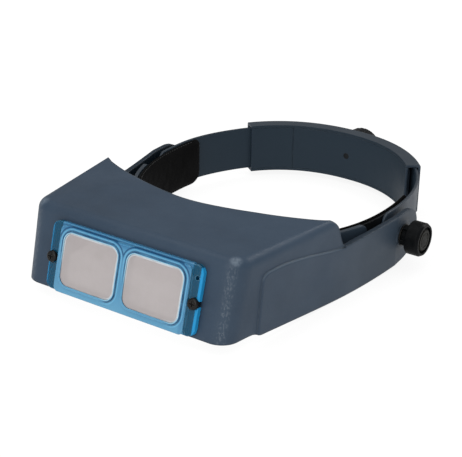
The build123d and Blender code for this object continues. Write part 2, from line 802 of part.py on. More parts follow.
def friction_washer(side):
    """Chamfered washer against the inner face of the boss."""
    with BuildPart() as washer:
        with BuildSketch(Plane.YZ.offset(side * (boss_in - washer_gap - washer_t))):
            Circle(8.0)
            Circle(bolt_r + 0.06, mode=Mode.SUBTRACT)
        extrude(amount=side * washer_t)
        chamfer(washer.edges().filter_by(GeomType.CIRCLE).sort_by(SortBy.RADIUS)[-2:], 0.2)
    return washer


def spring_washer(side):
    """Plain ring against the outer face of the boss."""
    with BuildPart() as washer:
        with BuildSketch(Plane.YZ.offset(side * (boss_out + washer_gap))):
            Circle(6.6)
            Circle(bolt_r + 0.12, mode=Mode.SUBTRACT)
        extrude(amount=side * washer_t)
    return washer


for side, word, bolt_end_x in ((1, "left", 101.6), (-1, "right", 93.6)):
    save(pivot_bolt(side, bolt_end_x), "pivot_bolt_" + word)
    save(friction_washer(side), "friction_washer_" + word)
    save(spring_washer(side), "spring_washer_" + word)

# ---------------------------------------------------------------- left tension knob
# stub collar with four ears against the arm, then the round grip
grip_r = 10.2
cap_recess_depth = 1.9
bolt_hole_end_x = 102.0
with BuildPart() as tension_knob_left:
    with BuildSketch(Plane.YZ.offset(knob_seat_x)):
        Circle(5.4)
        with PolarLocations(5.2, 4, start_angle=20):
            Rectangle(3.2, 3.4)
    extrude(amount=grip_in - knob_seat_x + 0.5)
    with BuildSketch(Plane.YZ.offset(grip_in)):
        Circle(grip_r)
    extrude(amount=grip_out - grip_in)
    grip_edges = tension_knob_left.edges().filter_by(GeomType.CIRCLE).filter_by(
        lambda e: e.radius > 10)
    chamfer(grip_edges.sort_by(Axis.X)[-1], 1.5, 0.9)
    full_edges = tension_knob_left.edges().filter_by(GeomType.CIRCLE).filter_by(
        lambda e: e.radius > 10.15)
    fillet(full_edges.sort_by(Axis.X)[0], 0.7)
    # round recess in the outer face, where the cap sits
    with BuildSketch(Plane.YZ.offset(grip_out)):
        Circle(8.1)
    extrude(amount=-cap_recess_depth, mode=Mode.SUBTRACT)
    # blind hole for the bolt, from the arm's side
    with BuildSketch(Plane.YZ.offset(knob_seat_x - 1)):
        Circle(bolt_r + run)
    extrude(amount=bolt_hole_end_x - knob_seat_x + 1, mode=Mode.SUBTRACT)
save(tension_knob_left, "tension_knob_left")

# ---------------------------------------------------------------- left knob cap
cap_in = grip_out - cap_recess_depth + 0.02
cap_t = 1.75
with BuildPart() as knob_cap_left:
    with BuildSketch(Plane.YZ.offset(cap_in)):
        Circle(6.7)
    extrude(amount=cap_t)
    chamfer(knob_cap_left.edges().filter_by(GeomType.CIRCLE).sort_by(Axis.X)[-1], 0.6)
    # shallow ring groove
    with BuildSketch(Plane.YZ.offset(cap_in + cap_t)):
        Circle(4.6)
        Circle(4.0, mode=Mode.SUBTRACT)
    extrude(amount=-0.25, mode=Mode.SUBTRACT)
save(knob_cap_left, "knob_cap_left")

# ---------------------------------------------------------------- right pivot nut
# low round nut that closes the right pivot
nut_t = 3.9
with BuildPart() as pivot_nut_right:
    with BuildSketch(Plane.YZ.offset(-knob_seat_x)):
        Circle(10.3)
    extrude(amount=-nut_t)
    fillet(pivot_nut_right.edges().filter_by(GeomType.CIRCLE).sort_by(Axis.X)[0], 1.4)
    # two shallow holes for a pin wrench
    with BuildSketch(Plane.YZ.offset(-(knob_seat_x + nut_t))):
        with Locations((6.2, 0), (-6.2, 0)):
            Circle(1.1)
    extrude(amount=1.5, mode=Mode.SUBTRACT)
    # blind hole for the bolt, from the arm's side
    with BuildSketch(Plane.YZ.offset(-(boss_out + 0.5))):
        Circle(bolt_r + run)
    extrude(amount=-3.4, mode=Mode.SUBTRACT)
save(pivot_nut_right, "pivot_nut_right")
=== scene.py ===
"""Headband magnifier: a hood with a blue two-lens plate, on a padded band.

Metres, +Z up. The lens plate faces -Y, the band circles Z and the hood's pivots lie along X.
The CAD pieces get procedural materials; the comfort pad is rebuilt as a sewn, padded cover.
"""

import bisect
import math

import bmesh
import bpy
from mathutils import Matrix, Vector, noise

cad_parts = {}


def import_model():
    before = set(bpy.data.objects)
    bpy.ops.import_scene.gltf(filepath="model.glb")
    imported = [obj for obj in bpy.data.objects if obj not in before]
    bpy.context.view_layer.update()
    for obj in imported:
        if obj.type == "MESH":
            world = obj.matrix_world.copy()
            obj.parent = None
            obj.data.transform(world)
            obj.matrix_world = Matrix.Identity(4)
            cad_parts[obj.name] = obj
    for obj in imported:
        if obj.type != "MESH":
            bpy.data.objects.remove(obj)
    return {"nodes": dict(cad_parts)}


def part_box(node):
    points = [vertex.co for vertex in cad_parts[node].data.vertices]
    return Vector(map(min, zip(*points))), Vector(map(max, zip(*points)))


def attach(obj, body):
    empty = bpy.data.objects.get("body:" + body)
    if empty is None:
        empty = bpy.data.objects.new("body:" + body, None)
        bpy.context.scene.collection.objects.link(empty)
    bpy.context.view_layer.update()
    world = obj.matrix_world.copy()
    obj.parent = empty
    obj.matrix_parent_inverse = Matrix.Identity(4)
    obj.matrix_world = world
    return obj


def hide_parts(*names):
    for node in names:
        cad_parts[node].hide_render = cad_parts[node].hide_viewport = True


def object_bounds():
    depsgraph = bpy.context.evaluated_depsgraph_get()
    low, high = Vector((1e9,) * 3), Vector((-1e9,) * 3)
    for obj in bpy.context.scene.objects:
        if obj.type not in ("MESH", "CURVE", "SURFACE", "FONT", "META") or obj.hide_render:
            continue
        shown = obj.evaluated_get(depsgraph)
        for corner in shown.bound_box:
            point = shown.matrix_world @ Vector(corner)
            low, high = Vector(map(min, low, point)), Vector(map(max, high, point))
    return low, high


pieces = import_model()["nodes"]
cad_low, cad_high = [list(v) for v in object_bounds()]
scene = bpy.context.scene


# ------------------------------------------------------------------ node trees
class Value:
    """Output of a shader node. Arithmetic on it adds nodes to its tree."""

    def __init__(self, nodes, socket):
        self.nodes = nodes
        self.socket = socket

    def math(self, operation, *others):
        return self.nodes.add("Math", self, *others, operation=operation)

    def __add__(self, other):
        return self.math("ADD", other)

    def __radd__(self, other):
        return self.nodes.add("Math", other, self, operation="ADD")

    def __sub__(self, other):
        return self.math("SUBTRACT", other)

    def __rsub__(self, other):
        return self.nodes.add("Math", other, self, operation="SUBTRACT")

    def __mul__(self, other):
        return self.math("MULTIPLY", other)

    def __truediv__(self, other):
        return self.math("DIVIDE", other)

    def __abs__(self):
        return self.math("ABSOLUTE")

    def at_least(self, other):
        return self.math("MAXIMUM", other)

    def span(self, low, high, to=(0, 1), kind="SMOOTHSTEP"):
        """Maps low..high to the range `to`, eased and clamped."""
        return self.nodes.add("MapRange", self, low, high, *to, interpolation_type=kind)

    def linear(self, low, high, to):
        return self.span(low, high, to, kind="LINEAR")

    def vector_math(self, operation, *others, output="Vector"):
        return self.nodes.add("VectorMath", self, *others, output=output, operation=operation)

    def dot(self, other):
        return self.vector_math("DOT_PRODUCT", other, output="Value")

    def length(self):
        return self.vector_math("LENGTH", output="Value")

    def scaled(self, factors):
        return self.vector_math("MULTIPLY", factors)

    def xyz(self):
        split = self.nodes.node("SeparateXYZ", self)
        return [Value(self.nodes, socket) for socket in split.outputs]

    def noise(self, scale, detail=4, roughness=0.5, distortion=0.0):
        return self.nodes.add("TexNoise", Vector=self, Scale=scale, Detail=detail,
                              Roughness=roughness, Distortion=distortion)


def mix(colour, other, amount):
    """Blends from colour to other by amount."""
    blend = amount.nodes.node("Mix", amount, data_type="RGBA", blend_type="MIX")
    sockets = [socket for socket in blend.inputs if socket.type == "RGBA"]
    for value, socket in zip((colour, other), sockets):
        amount.nodes.plug(value, socket)
    result = next(socket for socket in blend.outputs if socket.type == "RGBA")
    return Value(amount.nodes, result)


def painted(colour, *coats):
    """Lays coats of (tint, amount) over a colour, the first one lowest."""
    for tint, amount in coats:
        colour = mix(colour, tint, amount)
    return colour


class Nodes:
    """Node tree of a material or world."""

    def __init__(self, owner):
        owner.use_nodes = True
        self.tree = owner.node_tree

    def plug(self, value, socket):
        """Links a value to a socket, or sets a plain number, vector or colour on it."""
        if isinstance(value, Value):
            self.tree.links.new(value.socket, socket)
        elif socket.type == "RGBA" and len(value) == 3:
            socket.default_value = (*value, 1)
        else:
            socket.default_value = value

    def node(self, kind, *ordered, **named):
        """New node. Ordered values fill its inputs; so do capitalised names.
        Lower-case names are its settings."""
        node = self.tree.nodes.new("ShaderNode" + kind)
        for name, value in named.items():
            if name[0].isupper():
                self.plug(value, node.inputs[name.replace("_", " ")])
            else:
                setattr(node, name, value)
        for value, socket in zip(ordered, node.inputs):
            self.plug(value, socket)
        return node

    def add(self, kind, *ordered, output=0, **named):
        """New node, returned as one of its outputs."""
        return Value(self, self.node(kind, *ordered, **named).outputs[output])

    def ray_kinds(self):
        """1 for camera rays, and 1 for glossy rays."""
        path = self.node("LightPath")
        return [Value(self, path.outputs[name]) for name in ("Is Camera Ray", "Is Glossy Ray")]


class Material(Nodes):
    def __init__(self, name):
        self.material = bpy.data.materials.new(name)
        super().__init__(self.material)
        self.tree.nodes.clear()
        self.output = self.node("OutputMaterial")

    def place(self):
        return self.add("TexCoord", output="Object")

    def normal_xyz(self):
        return self.add("NewGeometry", output="Normal").xyz()

    def vector(self, x, y, z):
        return self.add("CombineXYZ", x, y, z)

    def ramp(self, amount, stops):
        """Colour ramp through stops of (position, colour)."""
        ramp = self.node("ValToRGB", amount)
        elements = ramp.color_ramp.elements
        for i, (position, colour) in enumerate(stops):
            stop = elements[i] if i < 2 else elements.new(position)
            stop.position = position
            stop.color = (*colour, 1)
        return Value(self, ramp.outputs["Color"])

    def bump(self, height, strength, distance, **normal):
        return self.add("Bump", Height=height, Strength=strength, Distance=distance, **normal)

    def edge(self, radius, low=0.004, high=0.12):
        """Mask of the edges, 0 on flats, and the normal rounded over them."""
        soft = self.add("Bevel", samples=6, Radius=radius)
        flat = self.add("NewGeometry", output="Normal")
        return (1.0 - soft.dot(flat)).span(low, high), soft

    def finish(self, surface, volume=None):
        self.plug(surface, self.output.inputs["Surface"])
        if volume is not None:
            self.plug(volume, self.output.inputs["Volume"])
        return self.material


def assign(material, *names):
    for name in names:
        slots = pieces[name].data.materials
        slots.clear()
        slots.append(material)


def times(colour, factor):
    return tuple(c * factor for c in colour)


# ------------------------------------------------------------------ moulded slate plastic
PALE_SLATE = (0.105, 0.125, 0.145)      # pigment specks, and edges paled by wear and by painted highlight
BAND_HALF_X, BAND_HALF_Y = 0.0825, 0.0925


def tint_band(mat, axes, colour):
    """Darkens the top faces and those towards the head. Also returns the latter's mask."""
    x, y, _ = axes
    normal_x, normal_y, normal_z = mat.normal_xyz()
    outward = x / BAND_HALF_X * normal_x + y / BAND_HALF_Y * normal_y
    inner = outward.span(-0.55, -0.15, to=(1, 0))
    colour = painted(
        colour,
        ((0.0215, 0.0290, 0.0370), normal_z.span(0.4, 0.8, to=(0, 0.6))),
        ((0.0145, 0.0250, 0.0365), inner * 0.9))
    return colour, inner


def tint_hood(mat, axes, colour):
    """Darkens the insides of the arms and hood, and paints shade on the undersides and the top
    of the low rim. Also returns their mask.
    """
    x, y, z = axes
    normal_x, _, normal_z = mat.normal_xyz()
    side = x.math("SIGN") * normal_x      # 1 facing away from the middle, -1 towards it
    inner = side.span(-0.5, -0.2, to=(1, 0)) * y.span(-0.085, -0.05)
    outer_arm = side.span(0.2, 0.6) * y.span(-0.085, -0.015)
    # painted shade on the top of the low rim and on the undersides
    low_rim_top = normal_z.span(0.3, 0.7) * z.span(0.0175, 0.0160) * y.span(-0.075, -0.062)
    underside = normal_z.span(-0.6, -0.3, to=(1, 0))
    inner = inner.at_least(low_rim_top * 0.75).at_least(underside * 0.5)
    # painted highlight: a soft, paler band along the top of the raised side panels
    lip_highlight = normal_z.span(0.10, 0.50) * z.span(0.0245, 0.0232)
    lip_highlight = lip_highlight * y.span(-0.058, -0.064) * abs(x).span(0.062, 0.066)
    colour = painted(
        colour,
        ((0.036, 0.047, 0.060), outer_arm * 0.55),
        ((0.003, 0.007, 0.011), inner * 0.9),
        ((0.062, 0.088, 0.120), lip_highlight * 0.75))
    return colour, inner


CORNER_X, CORNER_Y = 0.0578, 0.1409     # axis of the -Y corners, its Y at z = 0
CORNER_LEAN = -0.2646                   # their shift in Y per rise in Z
CORNER_TIP = (0.0650, -0.1410, 0.0310)


def mark_corners(mat, place, axes, colour, rough, height):
    """Rough moulding marks down the -Y corners, with a painted glint at the top of each."""
    x, y, z = axes
    from_middle = abs(x) - CORNER_X
    tip_distance = mat.vector(abs(x), y, z).vector_math("DISTANCE", CORNER_TIP, output="Value")
    patches = place.noise(scale=650, detail=3, roughness=0.6).span(0.35, 0.6, to=(0.3, 1.0))
    # painted highlight near the top of each corner, broken into patches
    glint = tip_distance.span(0.0008, 0.0044, to=(1, 0)) * patches
    # strip down the corner, about one angle (radians) round its axis
    from_axis = y + (CORNER_Y + z * CORNER_LEAN)
    angle = (from_axis * -1.0).math("ARCTAN2", from_middle)
    strip = abs(angle - 0.97).span(0.10, 0.30, to=(1, 0))
    strip = strip * y.span(-0.134, -0.139) * z.span(0.030, 0.027)
    spots = place.scaled((1.0, 1.0, 0.55)).noise(scale=1000, detail=3, roughness=0.75)
    spots = spots.span(0.51, 0.58) * strip
    colour = painted(
        colour,
        ((0.13, 0.165, 0.205), glint * 0.62),
        ((0.12, 0.145, 0.17), spots * 0.36))
    return colour, rough + spots * 0.12, height + spots * 0.9


def slate(name, base, tint, edge_radius, edge_wear_and_highlight, rounding, mark=None):
    """Satin moulded plastic: flow mottling, spark-eroded grain, edges paled by wear and
    painted highlight.
    """
    mat = Material(name)
    place = mat.place()
    flow = place.noise(scale=14, detail=3, roughness=0.55, distortion=0.4)
    cloud = place.noise(scale=70, detail=3)
    pale = tuple(c * gain for c, gain in zip(base, (1.17, 1.13, 1.10)))
    colour = mat.ramp(flow * 0.6 + cloud * 0.4,
                      [(0.3, times(base, 0.86)), (0.5, base), (0.7, pale)])
    specks = place.noise(scale=2600, detail=2, roughness=0.6).span(0.56, 0.75, to=(0, 0.22))
    colour = mix(colour, PALE_SLATE, specks)
    rough = place.noise(scale=45, roughness=0.6).span(0.3, 0.7, to=(0.40, 0.52))
    axes = place.xyz()
    colour, inner = tint(mat, axes, colour)
    # edges paled partly by wear and partly by a painted highlight, broken up by scuffs
    worn, _ = mat.edge(edge_radius)
    scuff = place.noise(scale=260, roughness=0.65).span(0.42, 0.62)
    worn = worn * (scuff * 0.6 + 0.25)
    colour = mix(colour, PALE_SLATE, worn * edge_wear_and_highlight)
    # fine relief
    grain = place.noise(scale=1500, detail=3, roughness=0.6)
    pits = mat.add("TexVoronoi", Vector=place, Scale=2200, output="Distance")
    height = grain * 0.7 + pits * 0.3
    if mark:
        colour, rough, height = mark(mat, place, axes, colour, rough, height)
    rounded = mat.add("Bevel", samples=8, Radius=rounding)
    normal = mat.bump(height, strength=0.30, distance=0.00007, Normal=rounded)
    ripple = place.noise(scale=38, detail=2)
    normal = mat.bump(ripple, strength=0.10, distance=0.0006, Normal=normal)
    return mat.finish(mat.add(
        "BsdfPrincipled", Base_Color=colour, Roughness=rough, Normal=normal,
        Specular_IOR_Level=inner.linear(0, 1, to=(0.32, 0.13))))


hood_slate = slate("hood_slate", base=(0.0215, 0.0405, 0.0680), tint=tint_hood,
                   edge_radius=0.0008, edge_wear_and_highlight=0.5, rounding=0.0022, mark=mark_corners)
band_slate = slate("band_slate", base=(0.0225, 0.0365, 0.0550), tint=tint_band,
                   edge_radius=0.0006, edge_wear_and_highlight=0.18, rounding=0.0013)
assign(hood_slate, "visor_hood")
assign(band_slate, "front_strap", "left_strap", "right_strap",
       "rear_housing_outer", "rear_housing_inner")


# ------------------------------------------------------------------ black plastics and metals
RING_PITCH = 0.00035                    # turning marks
TURNING_CENTRE = 0.0                    # on both axes across the turning axis


def satin_black(name, base, light, rough, grain_scale=1800, bump=0.35, wear=0.45,
                turned_about=None, specular=0.2, ior=1.45):
    """Moulded black plastic with grain, dulled patches and paler edges.
    turned_about names the axis, if any, that fine rings run about."""
    mat = Material(name)
    place = mat.place()
    tone = place.noise(scale=120, roughness=0.6)
    mottle = tuple(c * 1.7 + 0.001 for c in base)
    colour = mix(base, mottle, tone.span(0.35, 0.7))
    worn, soft = mat.edge(0.00045)
    scuff = place.noise(scale=500, roughness=0.7).span(0.38, 0.6, to=(0.35, 1.0))
    colour = mix(colour, light, worn * scuff * wear)
    height = place.noise(scale=grain_scale, detail=3, roughness=0.6)
    if turned_about:
        across = [axis - TURNING_CENTRE for name, axis in zip("XYZ", place.xyz())
                  if name != turned_about]
        radius = mat.vector(*across, 0.0).length()
        rings = (radius * (2 * math.pi / RING_PITCH)).math("SINE")
        height = height + rings * 0.25
    dulled = place.noise(scale=300, roughness=0.6)
    return mat.finish(mat.add(
        "BsdfPrincipled", Base_Color=colour, IOR=ior, Specular_IOR_Level=specular,
        Roughness=dulled.span(0.3, 0.7, to=(rough - 0.06, rough + 0.08)),
        Normal=mat.bump(height, strength=bump, distance=0.00006, Normal=soft)))


assign(satin_black("knob_black", base=(0.0012, 0.0016, 0.0020), light=(0.030, 0.030, 0.029),
                   rough=0.42, turned_about="X", specular=0.3, ior=1.22),
       "tension_knob_left", "pivot_nut_right")
assign(satin_black("cap_black", base=(0.0034, 0.0034, 0.0022), light=(0.030, 0.030, 0.026),
                   rough=0.40, grain_scale=1400, bump=0.3, turned_about="X",
                   specular=0.3, ior=1.22),
       "knob_cap_left")
assign(satin_black("size_knob_black", base=(0.0035, 0.0042, 0.0050),
                   light=(0.034, 0.037, 0.041), rough=0.44, turned_about="Y", ior=1.32),
       "adjust_knob")
assign(satin_black("inner_black", base=(0.004, 0.005, 0.006), light=(0.020, 0.022, 0.025),
                   rough=0.5),
       "pad_carrier", "pad_studs", "pinion")
assign(satin_black("washer_nylon", base=(0.014, 0.015, 0.017), light=(0.05, 0.052, 0.055),
                   rough=0.55, grain_scale=900, bump=0.25, wear=0.3),
       "friction_washer_left", "friction_washer_right")


def metal(name, base, rough, brushed=(1, 1, 14), metallic=1.0, wear=(0.75, 0.75, 0.76)):
    """Turned or plated metal with small stains; brushing is finest along the larger factor."""
    mat = Material(name)
    place = mat.place()
    lines = place.scaled(brushed).noise(scale=900, roughness=0.65)
    stain = place.noise(scale=320, roughness=0.6)
    worn, _ = mat.edge(0.0003)
    colour = painted(
        base,
        (times(base, 0.45), stain.span(0.45, 0.75, to=(0, 0.25))),
        (wear, worn * 0.5))
    roughness = lines.span(0.3, 0.7, to=(rough - 0.07, rough + 0.08))
    roughness = roughness + stain.span(0.5, 0.8, to=(0.0, 0.15))
    return mat.finish(mat.add(
        "BsdfPrincipled", Base_Color=colour, Metallic=metallic, Roughness=roughness,
        Normal=mat.bump(lines, strength=0.25, distance=0.00003)))


assign(metal("black_steel", base=(0.018, 0.017, 0.016), rough=0.32, brushed=(1, 14, 1),
             metallic=0.75, wear=(0.16, 0.15, 0.14)),
       "lens_plate_screws", "adjust_knob_screw", "spring_washer_left", "spring_washer_right")
assign(metal("zinc_steel", base=(0.52, 0.53, 0.54), rough=0.3),
       "lens_plate_nuts", "detent_washer")
assign(metal("bolt_steel", base=(0.50, 0.50, 0.50), rough=0.28, brushed=(14, 1, 1)),
       "pivot_bolt_left", "pivot_bolt_right")


# ------------------------------------------------------------------ blue acrylic and lenses
PLATE_TOP = (0.0, -0.144, 0.0318)
PLATE_LEAN = 11.8 / 44.6                # run towards -Y per fall in Z
LENS_X, LENS_DOWN = 0.02185, 0.0258     # lens centre, from the middle and down the plate
LENS_FLAT_X, LENS_FLAT_DOWN = 0.0133, 0.0097    # half-lengths of the straight sides
LENS_CORNER = 0.0053


def plate_axes(mat):
    """Place, x, distance from the middle, and distance down the plate's face."""
    place = mat.place()
    slant = math.hypot(1, PLATE_LEAN)
    from_top = place.vector_math("SUBTRACT", PLATE_TOP)
    down = from_top.dot((0.0, -PLATE_LEAN / slant, -1 / slant))
    x = place.xyz()[0]
    return place, x, abs(x), down


def lens_outline(mat, x, across, down):
    """Distance out from the lens outline, and a mask of each lens's top and +X side, where
    most painted highlight and shade lines fall.
    """
    over_x = (abs(across - LENS_X) - LENS_FLAT_X).at_least(0.0)
    over_down = (abs(down - LENS_DOWN) - LENS_FLAT_DOWN).at_least(0.0)
    off = mat.vector(over_x, over_down, 0.0).length() - LENS_CORNER
    to_plus_x = x.math("SIGN") * (across - LENS_X)
    lit = down.span(0.0330, 0.0180).at_least(to_plus_x.span(0.008, 0.017))
    return off, lit


def blue_acrylic():
    """Clear blue acrylic: absorbs red with depth; faint scratches and smears. Over it lies an
    opaque
    body of painted light and shade: glow in the raised frame and polished edges, shade in the
    grooves."""
    mat = Material("blue_acrylic")
    place, x, across, down = plate_axes(mat)
    scratch = place.scaled((1, 1, 18)).noise(scale=420, detail=5, roughness=0.7)
    smear = place.noise(scale=55, roughness=0.6)
    rough = smear.span(0.45, 0.75, to=(0.02, 0.08)) + scratch.span(0.62, 0.75, to=(0.0, 0.05))
    normal = mat.bump(place.noise(scale=90, detail=2), strength=0.05, distance=0.0004)
    clear = mat.add("BsdfPrincipled", Base_Color=(0.90, 0.97, 1.0), Roughness=rough,
                    Normal=normal, IOR=1.49, Transmission_Weight=1.0, Specular_IOR_Level=0.12)

    # painted light and shade, where light gathers in the plastic and where it is lost
    edge, _ = mat.edge(0.00055, low=0.01, high=0.16)
    wave = place.scaled((1, 1, 1)).noise(scale=42, detail=3)
    low_end_glow = down.span(0.036, 0.046)
    # painted shade in the grooves, from ambient occlusion
    openness = mat.add("AmbientOcclusion", output="AO", samples=6, Distance=0.0016)
    groove_shade = openness.span(0.45, 0.92, to=(1, 0))
    normal_x = mat.normal_xyz()[0]
    # painted glow on the end faces and their edges
    end_face = abs(normal_x).span(0.5, 0.8) * across.span(0.0485, 0.050)
    end_edge = edge * across.span(0.0485, 0.0500)
    # painted shade along the plate's top and towards the flanges
    dim_shade = down.span(0.0115, 0.0085).at_least(x.span(0.0405, 0.0425) * 0.6)
    # painted shade on the flanges, for the dark hood seen through them
    flange = across.span(0.0438, 0.0446)
    flange_shade = flange * (1.0 - edge.at_least(end_face))
    # painted highlight at each end of the plate
    end_highlight = x.span(0.0488, 0.0496).at_least(across.span(0.0495, 0.0501) * 0.8)

    # painted highlights and shade round each lens seat, from the lens out: bright, dark, pale,
    # dark
    off, lit = lens_outline(mat, x, across, down)
    breaks = place.noise(scale=150, detail=3, roughness=0.6).span(0.3, 0.6, to=(0.45, 1.0))
    seat_highlight = off.span(0.0006, 0.0003) * lit
    seat_shade = off.span(0.0005, 0.0009) * off.span(0.0017, 0.0012) * lit * breaks
    seat_pale_highlight = off.span(0.0018, 0.0021) * off.span(0.0028, 0.0024) * lit
    seat_outer_shade = off.span(0.0029, 0.0032) * off.span(0.0041, 0.0036)
    seat_outer_shade = seat_outer_shade * down.span(0.0190, 0.0120)

    # painted glow of the frame, with the painted highlights and shade laid over it
    glow = painted(
        (0.058, 0.225, 0.395),
        ((0.085, 0.275, 0.445), wave.span(0.3, 0.7)),
        ((0.125, 0.34, 0.50), low_end_glow * 0.5),
        ((0.006, 0.075, 0.19), groove_shade * 0.8),
        ((0.22, 0.50, 0.68), edge * 0.7),
        ((0.022, 0.34, 0.70), end_face),
        ((0.05, 0.48, 0.95), end_edge * 0.7),
        ((0.012, 0.120, 0.270), dim_shade * (1.0 - edge) * 0.6),
        ((0.002, 0.042, 0.115), seat_shade * 0.95),
        ((0.15, 0.44, 0.66), seat_pale_highlight * 0.65),
        ((0.002, 0.048, 0.130), seat_outer_shade * 0.9),
        ((0.42, 0.66, 0.76), seat_highlight * 0.8),
        ((0.003, 0.088, 0.170), flange_shade),
        ((0.020, 0.290, 0.600), end_highlight * 0.85))
    body = mat.add("BsdfPrincipled", Base_Color=glow, Roughness=rough, Normal=normal, IOR=1.49,
                   Specular_IOR_Level=flange.linear(0, 1, to=(0.4, 0.10)))

    # share of the body with painted glow and shade over the clear plastic
    share = flange.linear(0, 1, to=(0.78, 0.50))
    share = share.at_least(seat_shade.at_least(seat_outer_shade) * 0.92)
    share = share.at_least(edge * 0.62)
    share = share.at_least(end_face.at_least(end_highlight) * 0.8)
    depth_tint = mat.add("VolumeAbsorption", Color=(0.06, 0.60, 0.84), Density=340.0)
    return mat.finish(mat.add("MixShader", share, clear, body), depth_tint)


def lens_glass():
    """Lens: an even pale grey painted in for the view through it, a hint of what is behind it,
    painted edge highlights.
    """
    mat = Material("lens_glass")
    place = mat.place()
    dust = place.noise(scale=1200, detail=3, roughness=0.7).span(0.62, 0.72)
    smear = place.noise(scale=60, roughness=0.6)
    rim, soft = mat.edge(0.0009, low=0.01, high=0.16)
    _, x, across, down = plate_axes(mat)
    off, lit = lens_outline(mat, x, across, down)
    breaks = place.noise(scale=170, detail=3, roughness=0.6).span(0.35, 0.6, to=(0.35, 1.0))
    # painted highlight just inside the lens's top and +X edges
    line = off.span(-0.0010, -0.0006) * (lit * breaks)
    # pale grey painted in for the view through the lens; rim is a painted highlight; smear
    # tone and dust are real
    veil = painted(
        (0.352, 0.322, 0.320),
        ((0.376, 0.344, 0.342), smear.span(0.3, 0.7)),
        ((0.7, 0.7, 0.7), dust * 0.06),
        ((0.62, 0.72, 0.78), rim * lit.linear(0, 1, to=(0.35, 0.95))),
        ((0.60, 0.68, 0.74), line * 0.72))
    painted_view = mat.add("BsdfPrincipled", Base_Color=veil, IOR=1.5, Normal=soft,
                   Roughness=smear.span(0.4, 0.8, to=(0.03, 0.09)))
    clear = mat.add("BsdfTransparent", Color=(0.93, 0.92, 0.92))
    painted_view_share = 0.80
    return mat.finish(mat.add("MixShader", painted_view_share, clear, painted_view))


assign(blue_acrylic(), "lens_plate")
assign(lens_glass(), "left_lens", "right_lens")


# ------------------------------------------------------------------ outline of the comfort pad
# A place on the pad is (run, z): run is the length along it from its -X end.
pad_low, pad_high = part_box("comfort_pad")
SKIN = 0.0033                           # outer face of the pad, out from the inner curve
CURVE_POWER = 2.18                      # the inner curve is a superellipse
CURVE_Y = 0.00146                       # its centre
CURVE_HALF_X = pad_high.x - SKIN
CURVE_HALF_Y = CURVE_Y - (pad_low.y + SKIN)
TOP_RADIUS, LOW_RADIUS = 0.0050, 0.0080     # corners at the pad's ends
RIM_WIDTH, RIM_THICK = 0.0011, 0.0012


def curve_xy(degrees, out=0.0):
    """Point on the inner curve at a polar angle, moved out along its normal."""
    def on_curve(angle):
        cos, sin = math.cos(angle), math.sin(angle)
        radius = (abs(cos / CURVE_HALF_X) ** CURVE_POWER
                  + abs(sin / CURVE_HALF_Y) ** CURVE_POWER) ** (-1 / CURVE_POWER)
        return radius * cos, CURVE_Y + radius * sin
    angle = math.radians(degrees)
    x0, y0 = on_curve(angle - 1e-4)
    x1, y1 = on_curve(angle + 1e-4)
    chord = math.hypot(x1 - x0, y1 - y0)
    x, y = on_curve(angle)
    return x + out * (y1 - y0) / chord, y - out * (x1 - x0) / chord


def measure_pad(steps=1200, depth=0.002):
    """Matching lists of runs and polar angles along the pad."""
    past_x = 20.0                       # degrees the pad reaches past the X axis at each end
    while curve_xy(past_x, 0.0016)[1] > pad_high.y - 0.0003 and past_x > 0:
        past_x -= 0.05
    angles = [(180 - past_x) + (180 + 2 * past_x) * i / steps for i in range(steps + 1)]
    points = [curve_xy(angle, depth) for angle in angles]
    runs = [0.0]
    for before, after in zip(points, points[1:]):
        runs.append(runs[-1] + math.dist(before, after))
    return runs, angles


pad_runs, pad_angles = measure_pad()
pad_length = pad_runs[-1]


def pad_angle(run):
    """Polar angle at a run, between the nearest measured ones."""
    i = min(max(bisect.bisect_left(pad_runs, run) - 1, 0), len(pad_runs) - 2)
    part = (run - pad_runs[i]) / max(1e-9, pad_runs[i + 1] - pad_runs[i])
    return pad_angles[i] + (pad_angles[i + 1] - pad_angles[i]) * part


def pad_limits(run):
    """Lowest and highest z at a run, with the ends rounded."""
    from_end = min(run, pad_length - run)

    def corner(radius):
        if from_end >= radius:
            return 0.0
        return radius - math.sqrt(max(0, radius ** 2 - (radius - from_end) ** 2))
    return pad_low.z + corner(LOW_RADIUS), pad_high.z - corner(TOP_RADIUS)


def from_rim(run, z):
    bottom, top = pad_limits(run)
    return max(0.0, min(run, pad_length - run, z - bottom, top - z))


def pad_thickness(run, z):
    """Thin at the pressed rim, then a crown; slight dimples off the rim."""
    inside = from_rim(run, z)
    if inside < RIM_WIDTH:
        thick = RIM_THICK * (0.55 + 0.45 * min(1.0, inside / 0.0004))
    else:
        crown = 1.0 - (1.0 - min(1.0, (inside - RIM_WIDTH) / 0.0030)) ** 2.4
        wide = min(1.0, inside / 0.0145)
        thick = RIM_THICK + (0.0026 - RIM_THICK) * crown + 0.00085 * wide ** 1.2
    if thick > 0.0015:
        thick += (0.00010 * noise.noise(Vector((run * 55, z * 60, 3.7)))
                  + 0.00005 * noise.noise(Vector((run * 210, z * 190, 9.1))))
    return thick


# ------------------------------------------------------------------ comfort pad cover
ROWS = 24
END_CUTS, MIDDLE_CUTS = 9, 210


def link_object(name, data):
    thing = bpy.data.objects.new(name, data)
    scene.collection.objects.link(thing)
    return thing


def smooth_object(name, bm):
    bmesh.ops.recalc_face_normals(bm, faces=bm.faces)
    mesh = bpy.data.meshes.new(name)
    bm.to_mesh(mesh)
    bm.free()
    for polygon in mesh.polygons:
        polygon.use_smooth = True
    return link_object(name, mesh)


